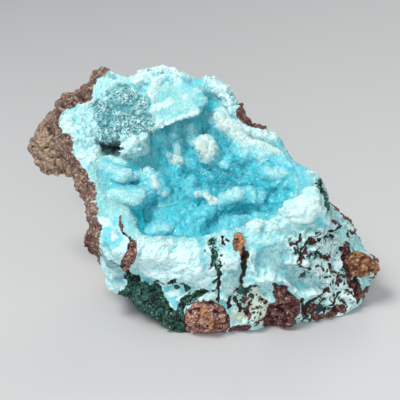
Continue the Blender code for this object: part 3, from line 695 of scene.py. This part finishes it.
# The crust, bluer by the hollow, chalky on the swellings, crumbly and cracked at the foot.
crust = rock.mix(rock.step(large, 0.35, 0.65), *TURQUOISE)
crust = rock.mix(rock.step(middling, 0.50, 0.72, 0.0, 0.7), crust, (214, 242, 242))
bluer = rock.times(near_druse, rock.step(middling, 0.35, 0.65, 0.3, 0.9))
crust = rock.mix(bluer, crust, (120, 214, 228))
shoal_tone = rock.mix(rock.step(middling, 0.35, 0.65), *SHOAL_TONES)
crust = rock.mix(rock.patch(shoal, middling, 0.4, 0.2, 0.3), crust, shoal_tone)
chalk_tone = rock.mix(rock.step(middling, 0.4, 0.7), *CHALK_TONES)
crust = rock.mix(rock.patch(chalk, small, 0.5, 0.3, 0.2), crust, chalk_tone)
misty_tone = rock.mix(rock.step(small, 0.35, 0.6), *MISTY_TONES)
crust = rock.mix(rock.patch(misty, middling, 0.4, 0.3, 0.2), crust, misty_tone)
crust = rock.mix(rock.patch(blue_window, small, 0.4, 0.4, 0.3), crust, rock.mix(small, *WINDOW_TONES))
crumb_tone = rock.mix(rock.step(small, 0.38, 0.6), *CRUMB_TONES)
crumb_tone = rock.mix(rock.step(chalk, 0.1, 0.6, 0.0, 0.75), crumb_tone, (224, 247, 245))
crust = rock.mix(rock.patch(crumbly, middling, 0.5, 0.2, 0.3), crust, crumb_tone)
speckle_ground = rock.mix(rock.step(middling, 0.4, 0.62), *SPECKLED_TONES)
crust = rock.mix(rock.patch(speckled, middling, 0.5, 0.2, 0.2), crust, speckle_ground)
# Painted highlight on the crests and painted shade in the hollows and creases of the relief.
crust = rock.coated(
    crust,
    (rock.step(broad_light_and_shade, 0.55, 1.1, 0.0, 0.5), (220, 248, 249)),
    (rock.step(broad_light_and_shade, 0.45, 0.0, 0.0, 0.55), (104, 204, 218)),
    (rock.step(fine_light_and_shade, 0.60, 1.1, 0.0, 0.4), (228, 250, 250)),
    (rock.step(fine_light_and_shade, 0.38, 0.0, 0.0, 0.35), (112, 202, 214)),
)
dark_specks = rock.patch(speckled, middling, 1.2, 0.25, 0.4)
dark_specks = rock.times(dark_specks, rock.step(pepper, 0.49, 0.57))
dark_specks = rock.times(dark_specks, rock.step(middling, 0.36, 0.56, 0.35, 1.0))
crust = rock.mix(dark_specks, crust, rock.mix(rock.step(middling, 0.4, 0.6), *SPECK_TONES))
crust = rock.mix(rock.patch(moss, small, 0.5, 0.3, 0.2), crust, rock.mix(middling, *MOSS_TONES))
# Cracks in the creases of the broken crust: dark crack colour with painted shade.
crack_and_shade_tone = rock.mix(rock.step(middling, 0.40, 0.52), *CRACK_AND_SHADE_TONES)
crust = rock.mix(rock.patch(crack_and_shade, small, 0.5, 0.3, 0.15), crust, crack_and_shade_tone)

# The brown matrix, rustier to the right and darker along the crust's edge.
rightward = rock.add("ShaderNodeSeparateXYZ", {"Vector": rock.places}).outputs["X"]
rusty = rock.plus(rightward, rock.times(rock.speck(0.020, 3.0), 0.05))
rusty = rock.step(rusty, 0.018, 0.046)
tan = rock.coated(
    rock.mix(rock.step(large, 0.35, 0.65), *MATRIX_TONES),
    (rock.step(middling, 0.55, 0.75, 0.0, 0.8), (128, 98, 92)),
    (rock.times(edging, rock.step(middling, 0.3, 0.6, 0.4, 0.95)), (112, 80, 78)),
    (rock.step(tiny, 0.51, 0.66, 0.0, 0.7), (200, 180, 160)),
    (rock.step(tiny, 0.47, 0.38, 0.0, 0.6), (84, 64, 52)),
    (rock.times(rusty, rock.step(middling, 0.66, 0.42, 0.2, 0.95)), (92, 54, 48)),
    # Painted shade in the matrix's pits and crevices.
    (rock.step(fine_light_and_shade, 0.44, 0.05, 0.0, 0.8), (80, 60, 48)),
    (rock.step(broad_light_and_shade, 0.42, 0.0, 0.0, 0.9), (48, 36, 30)),
)
body = rock.mix(rock.patch(brown, middling, 0.5, 0.3), crust, tan)

# The ores: green malachite, dark red cuprite, brick-red nodules, iron-stained lumps and black veins.
green_ore = rock.coated(
    rock.mix(rock.step(small, 0.38, 0.62), *MALACHITE_AND_SHADE_TONES),
    (rock.times(rock.step(pepper, 0.55, 0.62), rock.step(middling, 0.42, 0.64, 0.15, 0.9)), (142, 200, 186)),
    # Painted shade in the malachite's recesses.
    (rock.step(broad_light_and_shade, 0.42, 0.05, 0.0, 0.8), (8, 20, 18)),
)
body = rock.mix(rock.patch(green, small, 0.5, 0.3), body, green_ore)
red_ore = rock.coated(
    rock.mix(rock.step(small, 0.4, 0.65), *CUPRITE_TONES),
    (rock.step(tiny, 0.59, 0.66, 0.0, 0.65), (196, 174, 166)),
    # Painted shade in the cuprite's recesses.
    (rock.step(broad_light_and_shade, 0.42, 0.05, 0.0, 0.85), (34, 20, 20)),
)
brick_ore = rock.coated(
    rock.mix(rock.step(middling, 0.36, 0.62), *BRICK_TONES),
    (rock.step(pepper, 0.53, 0.61, 0.0, 0.85), (222, 200, 186)),
    (rock.step(tiny, 0.46, 0.38, 0.0, 0.8), (66, 36, 32)),
    # Painted shade in the nodules' recesses.
    (rock.step(broad_light_and_shade, 0.44, 0.1, 0.0, 0.85), (44, 28, 26)),
)
red_ore = rock.mix(rock.step(bricky, 0.3, 0.6), red_ore, brick_ore)
body = rock.mix(rock.patch(red, small, 0.5, 0.3), body, red_ore)
orange_ore = rock.coated(
    rock.mix(rock.step(middling, 0.38, 0.62), *IRON_TONES),
    (rock.step(tiny, 0.57, 0.66, 0.0, 0.6), (216, 192, 168)),
    (rock.step(tiny, 0.45, 0.38, 0.0, 0.7), (64, 34, 22)),
    # Painted shade in the iron-stained lumps' recesses.
    (rock.step(broad_light_and_shade, 0.42, 0.05, 0.0, 0.8), (48, 28, 20)),
)
body = rock.mix(rock.patch(orange, small, 0.5, 0.3), body, orange_ore)
body = rock.mix(rock.patch(black, small, 0.6, 0.25), body, rock.mix(fine, *VEIN_TONES))
# The pit is painted dark as painted shade.
hole_shade_tone = rock.mix(rock.step(small, 0.4, 0.65), *HOLE_SHADE_TONES)
body = rock.mix(rock.patch(hole_shade, small, 0.8, 0.25, 0.25), body, hole_shade_tone)
rock.feed(rock.shader.inputs["Base Color"], body)
rock.feed(rock.shader.inputs["Roughness"], rock.step(middling, 0.3, 0.7, 0.55, 0.85))
rock.shader.inputs["Specular IOR Level"].default_value = 0.4
rock.shader.inputs["Subsurface Weight"].default_value = 0.10
rock.shader.inputs["Subsurface Radius"].default_value = (0.4, 1.0, 1.0)
rock.shader.inputs["Subsurface Scale"].default_value = 0.0012
heights = rock.plus(rock.times(small, 0.6), rock.times(fine, 0.4))
bump = rock.add("ShaderNodeBump", {"Strength": 1.0, "Distance": 0.0007, "Height": heights})
rock.feed(rock.shader.inputs["Normal"], bump.outputs["Normal"])
stone.data.materials.clear()
stone.data.materials.append(rock.material)
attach(stone, "root")
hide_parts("stone")


# The druse. The hollow is lined by rounded mounds of blue chrysocolla, under a thin skin of clear quartz.
# The mounds run from deep teal in the recesses, as painted shade, to white on the crests, as painted
# highlight.
DRUSE_CELL = 0.00036
DRUSE_FIT = 0.00035
MOUND_OUT = 0.0017
LUMP_DEEP, LUMP_SIZE = 0.0012, 0.0046
CREASE_DEEP, CREASE_SIZE = 0.0005, 0.0020
CURD_DEEP, CURD_SIZE = 0.0014, 0.0030
# Lines drawn over the picture on the hollow's floor, each with its half width in mm. A mound has its height
# between them, as a share of MOUND_OUT.
DRUSE_SNOW = [
    (4.8, [(203, 141), (208, 150)]), (2.4, [(177, 157), (180, 161)]), (0.9, [(197, 193), (198, 195)]),
    (2.1, [(208, 197), (213, 201)]), (1.0, [(155, 178), (158, 184)]), (0.9, [(161, 192), (163, 195)]),
    (2.9, [(222, 121), (230, 128), (240, 136)]), (2.7, [(242, 139), (254, 142), (266, 146), (278, 152)]),
    (1.8, [(148, 150), (140, 152)]),
]
# Paler parts of the hollow, mostly its own paler tone; the two lines on the flutes under the flap are
# painted light there.
DRUSE_PALE_AND_LIT = [
    (4.4, [(168, 128), (174, 142), (178, 152)]), (4.0, [(184, 122), (190, 132)]),
    (3.6, [(104, 168), (118, 170), (132, 174)]), (3.7, [(112, 198), (126, 196), (138, 198)]),
    (4.0, [(146, 172), (156, 182)]), (6.0, [(192, 134), (206, 146), (214, 156)]),
    (5.5, [(222, 128), (244, 132), (272, 138)]), (4.5, [(208, 118), (222, 112)]),
    (2.4, [(272, 172), (280, 176)]), (3.6, [(246, 148), (262, 154)]), (3.0, [(178, 158), (186, 164)]),
    (5.0, [(194, 126), (200, 140), (215, 158)]), (3.0, [(158, 210), (170, 206)]),
    (2.6, [(224, 198), (240, 194)]), (3.0, [(150, 226), (166, 226)]),
    (3.0, [(136, 160), (150, 164), (162, 170)]),
]
DRUSE_MOUNDS = [
    (3.4, 0.9, [(110, 170), (116, 174)]), (3.0, 0.9, [(126, 174), (132, 178)]),
    (3.6, 1.7, [(108, 201), (122, 197), (138, 196)]), (4.3, 1.2, [(146, 174), (154, 180), (160, 190)]),
    (2.2, 0.9, [(170, 124), (173, 138), (176, 150)]), (2.2, 0.8, [(186, 118), (189, 132), (190, 142)]),
    (5.8, 0.9, [(203, 141), (208, 150)]), (2.0, 0.8, [(178, 158), (180, 161)]),
    (4.4, 1.0, [(236, 150), (240, 154)]), (4.2, 0.9, [(262, 152), (266, 156)]),
    (4.0, 0.8, [(268, 172), (276, 178)]), (3.6, 1.5, [(224, 200), (234, 196), (246, 192)]),
    (2.2, 0.8, [(205, 192), (213, 201)]), (3.2, 0.8, [(188, 180), (194, 194)]),
    (3.4, 1.0, [(156, 216), (166, 208), (178, 202)]), (3.0, 0.9, [(176, 224), (192, 216), (210, 210)]),
    (2.6, 0.9, [(222, 224), (240, 220), (258, 214)]), (2.8, 0.9, [(152, 232), (166, 228)]),
    (3.2, 1.1, [(214, 118), (222, 124)]), (3.4, 0.9, [(244, 130), (256, 134)]),
    (2.8, 0.8, [(146, 152), (150, 158)]), (2.4, 0.9, [(252, 198), (262, 196)]),
    (2.2, 0.8, [(212, 168), (222, 164)]), (2.0, 0.7, [(160, 198), (164, 204)]),
]
# Recesses of the hollow, painted darker teal as painted shade.
DRUSE_DEEP_SHADE = [
    (3.6, [(137, 216), (139, 224), (142, 232)]), (2.4, [(150, 134), (158, 128), (166, 123)]),
    (3.4, [(192, 114), (206, 106)]), (3.4, [(212, 182), (222, 176), (234, 180)]),
    (2.8, [(232, 212), (244, 208)]), (2.8, [(262, 212), (272, 206)]), (2.6, [(122, 160), (134, 166)]),
    (2.2, [(168, 178), (172, 192)]), (2.2, [(205, 226), (216, 222)]), (2.4, [(270, 190), (276, 192)]),
    (2.4, [(240, 168), (236, 162)]), (2.2, [(148, 208), (146, 222)]), (2.0, [(196, 172), (204, 182)]),
    (2.6, [(283, 186), (288, 192)]), (2.6, [(282, 156), (288, 170)]),
]
druse = even_skin(copied("druse", "druse_skin"), DRUSE_CELL)
floor_skin = Skin(druse)
floor_skin.set_places(floor_skin.evened(floor_skin.places, 6))
druse_tree = floor_skin.tree()
floor = floor_skin.places.copy()
wandering = strayed(floor, (3.0, 1.2), (1.0, 0.5))
snow, pale_and_lit = (strokes(druse_tree, wandering, lines) for lines in (DRUSE_SNOW, DRUSE_PALE_AND_LIT))
deep_shade = strokes(druse_tree, wandering, DRUSE_DEEP_SHADE)
upward = ramp(floor_skin.normals() @ np.array(FACE_OUT), -0.2, 0.3)
wall = np.array([stone_tree.find_nearest(Vector(p), 0.003)[3] or 0.003 for p in floor])
edge = floor_skin.evened(upward * (1.0 - ramp(wall, 0.0009, 0.0022)), 12)
edge = np.clip(edge * 1.6, 0.0, 1.0)
broad_out = floor_skin.evened(floor_skin.normals(), 30)
broad_out /= np.linalg.norm(broad_out, axis=1)[:, None] + 1e-9
sunk = ((floor_skin.evened(floor, 260) - floor) * broad_out).sum(1)
swell = np.clip(sunk, -0.0022 * (1.0 - edge), 0.0032) * 0.9 - 0.0005
for half_wide, tall, line in DRUSE_MOUNDS:
    swell += MOUND_OUT * tall * ramp(strokes(druse_tree, wandering, [(half_wide, line)]), 0.0, 0.9)
swell = swell * (1.0 - edge) + 0.0004 * edge
along, up, _ = face_frame(floor)
away = (along - 0.002)[:, None] * np.array(FACE_RIGHT) + (up - 0.018)[:, None] * np.array(FACE_UP)
away *= 0.0016 * edge[:, None] / (np.linalg.norm(away, axis=1)[:, None] + 1e-9)
floor_skin.set_places(floor_skin.evened(floor + broad_out * swell[:, None] + away, 3))
swell = LUMP_DEEP * billow(floor, LUMP_SIZE, 2) + CREASE_DEEP * billow(floor, CREASE_SIZE, 3, 4.0)
curds = 0.0003 + CURD_DEEP * billow(floor, CURD_SIZE, 3, 9.0)
swell += 0.00016 * jagged(floor, 0.0008, 2) + curds * ramp(snow, 0.1, 0.7)
swell = swell * (1.0 - edge) + DRUSE_FIT
floor_skin.set_places(floor_skin.places + floor_skin.normals() * swell[:, None])
_, _, out = face_frame(floor_skin.places)
# Depth in the hollow, for painted shade deeper in it, and how far points stand out, for painted highlight on
# crests and painted shade in recesses.
hollow_depth_for_shade = ramp(out, -0.0095, -0.0005)
open_side = ramp(floor_skin.normals() @ np.array(FACE_OUT), -0.25, 0.15)
floor_skin.set_colours("druse", floor_skin.standing_out(40, 0.0010), hollow_depth_for_shade, snow, deep_shade)
floor_skin.set_colours("bleach", np.maximum(pale_and_lit, edge * 0.7), floor_skin.standing_out(6, 0.0002))
druse.data.shade_smooth()
bare = druse.data.attributes.new("bare", "FLOAT", "POINT")
bare.data.foreach_set("value", open_side.astype(np.float32))


def druse_paint(finish, lighter):
    """The druse's colour, from deep teal to white, for the mounds or for the crystals on them: painted shade
    in recesses and deep in the hollow, painted highlight on crests.
    """
    crest_light_and_shade, high, snowy, deep_shade_share = finish.shares("druse")
    pale_and_lit_share, fine_light_and_shade, _, _ = finish.shares("bleach")
    cloud, mottle = finish.speck(0.0040, 3.0), finish.speck(0.0010, 2.0)
    # Painted highlight on crests and painted shade in recesses and deep in the hollow, with random cloud and
    # the paler patches.
    light_and_tone = 0.0
    for share, level, weight in (
        (crest_light_and_shade, 0.0, 0.38), (high, 0.0, 0.35), (cloud, 0.5, 0.5), (fine_light_and_shade, 0.5, 0.25), (pale_and_lit_share, 0.0, 0.45),
        (deep_shade_share, 0.0, -0.55),
    ):
        light_and_tone = finish.plus(light_and_tone, finish.times(finish.plus(share, -level), weight))
    blue = finish.coated(
        finish.mix(finish.step(light_and_tone, 0.0, 0.30), (4, 176, 198), (48, 208, 226)),
        (finish.step(light_and_tone, 0.28, 0.74), (96, 218, 234)),
        (finish.step(light_and_tone, 0.66, 1.06), (176, 238, 242)),
    )
    curdled = finish.step(finish.speck(0.0022, 3.0), 0.45, 0.65)
    snow_tone = finish.mix(curdled, (216, 245, 245), (210, 230, 222))
    blue = finish.mix(finish.patch(snowy, mottle, 0.6, 0.25, 0.3), blue, snow_tone)
    # The crystals are paler overall, and whiter on the crests as painted highlight.
    return finish.mix(finish.step(light_and_tone, 0.0, 0.9, 0.2 * lighter, lighter), blue, (222, 250, 252))


mound_finish = Finish("blue_mounds")
mound_finish.feed(mound_finish.shader.inputs["Base Color"], druse_paint(mound_finish, 0.0))
mound_finish.shader.inputs["Roughness"].default_value = 0.35
mound_finish.shader.inputs["Subsurface Weight"].default_value = 0.55
mound_finish.shader.inputs["Subsurface Radius"].default_value = (0.3, 0.9, 1.0)
mound_finish.shader.inputs["Subsurface Scale"].default_value = 0.0022
druse.data.materials.clear()
druse.data.materials.append(mound_finish.material)
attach(druse, "root")
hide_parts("druse")


# The quartz. Clear six-sided points, each under a millimetre, grow out of the mounds so thickly that the
# druse glitters like sugar. They stand square to the surface, lean a little and differ in size.
POINT_SPACING, POINT_SIZE = 0.00040, 0.00024
POINT_TALL, POINT_LEAN = 1.25, 0.6


def grown_crystals(name, host, where, spacing, size, tall, lean, sides, seed, finish):
    """Crystals scattered over a host mesh where an attribute allows, as one plain mesh."""
    tree = bpy.data.node_groups.new(name, "GeometryNodeTree")
    tree.interface.new_socket("Geometry", in_out="OUTPUT", socket_type="NodeSocketGeometry")
    tree.interface.new_socket("Geometry", in_out="INPUT", socket_type="NodeSocketGeometry")
    values = {
        "Where": ("NodeSocketString", where), "Spacing": ("NodeSocketFloat", spacing),
        "Size": ("NodeSocketFloat", size), "Tall": ("NodeSocketFloat", tall),
        "Lean": ("NodeSocketFloat", lean), "Sides": ("NodeSocketInt", sides),
        "Seed": ("NodeSocketInt", seed),
    }
    keys = {
        key: tree.interface.new_socket(key, in_out="INPUT", socket_type=kind).identifier
        for key, (kind, _) in values.items()
    }
    source, link = tree.nodes.new("NodeGroupInput").outputs, tree.links.new

    def made(kind, **settings):
        node = tree.nodes.new(kind)
        for key, value in settings.items():
            setattr(node, key, value)
        return node

    allowed = made("GeometryNodeInputNamedAttribute", data_type="FLOAT")
    link(source["Where"], allowed.inputs["Name"])
    scatter = made("GeometryNodeDistributePointsOnFaces", distribute_method="POISSON")
    link(source["Geometry"], scatter.inputs["Mesh"])
    link(source["Spacing"], scatter.inputs["Distance Min"])
    link(allowed.outputs["Attribute"], scatter.inputs["Density Factor"])
    link(source["Seed"], scatter.inputs["Seed"])
    scatter.inputs["Density Max"].default_value = 2.0e7
    point = made("GeometryNodeMeshCone")
    link(source["Sides"], point.inputs["Vertices"])
    point.inputs["Radius Bottom"].default_value = 1.0
    point.inputs["Radius Top"].default_value = 0.0
    link(source["Tall"], point.inputs["Depth"])
    tilt = made("FunctionNodeRandomValue", data_type="FLOAT_VECTOR")
    low = made("ShaderNodeMath", operation="MULTIPLY")
    link(source["Lean"], low.inputs[0])
    low.inputs[1].default_value = -1.0
    for limit, end in (("Min", low.outputs[0]), ("Max", source["Lean"])):
        link(end, tilt.inputs[limit])
    link(source["Seed"], tilt.inputs["Seed"])
    turn = made("FunctionNodeRotateRotation", rotation_space="LOCAL")
    link(scatter.outputs["Rotation"], turn.inputs["Rotation"])
    link(tilt.outputs["Value"], turn.inputs["Rotate By"])
    grow = made("FunctionNodeRandomValue", data_type="FLOAT")
    grow.inputs[2].default_value, grow.inputs[3].default_value = 0.55, 1.35
    sized = made("ShaderNodeMath", operation="MULTIPLY")
    link(grow.outputs[1], sized.inputs[0])
    link(source["Size"], sized.inputs[1])
    place = made("GeometryNodeInstanceOnPoints")
    link(scatter.outputs["Points"], place.inputs["Points"])
    link(point.outputs["Mesh"], place.inputs["Instance"])
    link(turn.outputs["Rotation"], place.inputs["Rotation"])
    link(sized.outputs[0], place.inputs["Scale"])
    real = made("GeometryNodeRealizeInstances")
    link(place.outputs["Instances"], real.inputs["Geometry"])
    flat = made("GeometryNodeSetShadeSmooth")
    flat.inputs["Shade Smooth"].default_value = False
    link(real.outputs["Geometry"], flat.inputs["Geometry"])
    coat = made("GeometryNodeSetMaterial")
    coat.inputs["Material"].default_value = finish
    link(flat.outputs["Geometry"], coat.inputs["Geometry"])
    link(coat.outputs["Geometry"], tree.nodes.new("NodeGroupOutput").inputs["Geometry"])

    grown = bpy.data.objects.new(name, host.data.copy())
    scene.collection.objects.link(grown)
    modifier = grown.modifiers.new(name, "NODES")
    modifier.node_group = tree
    for key, (_, value) in values.items():
        modifier[keys[key]] = value
    return settled(grown)


quartz = Finish("clear_quartz")
# The crystals take the druse's colour, with its painted shade and painted highlight.
quartz.feed(quartz.shader.inputs["Base Color"], druse_paint(quartz, 0.34))
quartz.shader.inputs["Roughness"].default_value = 0.15
quartz.shader.inputs["IOR"].default_value = 1.54
quartz.shader.inputs["Transmission Weight"].default_value = 0.22
crystals = grown_crystals(
    "quartz_points", druse, "bare", POINT_SPACING, POINT_SIZE, POINT_TALL, POINT_LEAN, sides=6, seed=7,
    finish=quartz.material
)
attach(crystals, "root")


# The crumbs. Splinters of the same crust cling to it round the hollow and over the speckled patch, and the
# druse's crystals run out onto the stone at the hollow's edge. They take the colour of what they grow on.
CRUMB_SPACING, CRUMB_SIZE = 0.00045, 0.00023
CRUMB_TALL, CRUMB_LEAN = 1.1, 0.9
RIM_POINT_SIZE = 0.00025
crumbs = grown_crystals(
    "crust_crumbs", stone, "sugary", CRUMB_SPACING, CRUMB_SIZE, CRUMB_TALL, CRUMB_LEAN, sides=5, seed=11,
    finish=rock.material
)
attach(crumbs, "root")
strays = grown_crystals(
    "rim_points", stone, "rimmed", POINT_SPACING, RIM_POINT_SIZE, POINT_TALL, POINT_LEAN, sides=6, seed=3,
    finish=rock.material
)
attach(strays, "root")
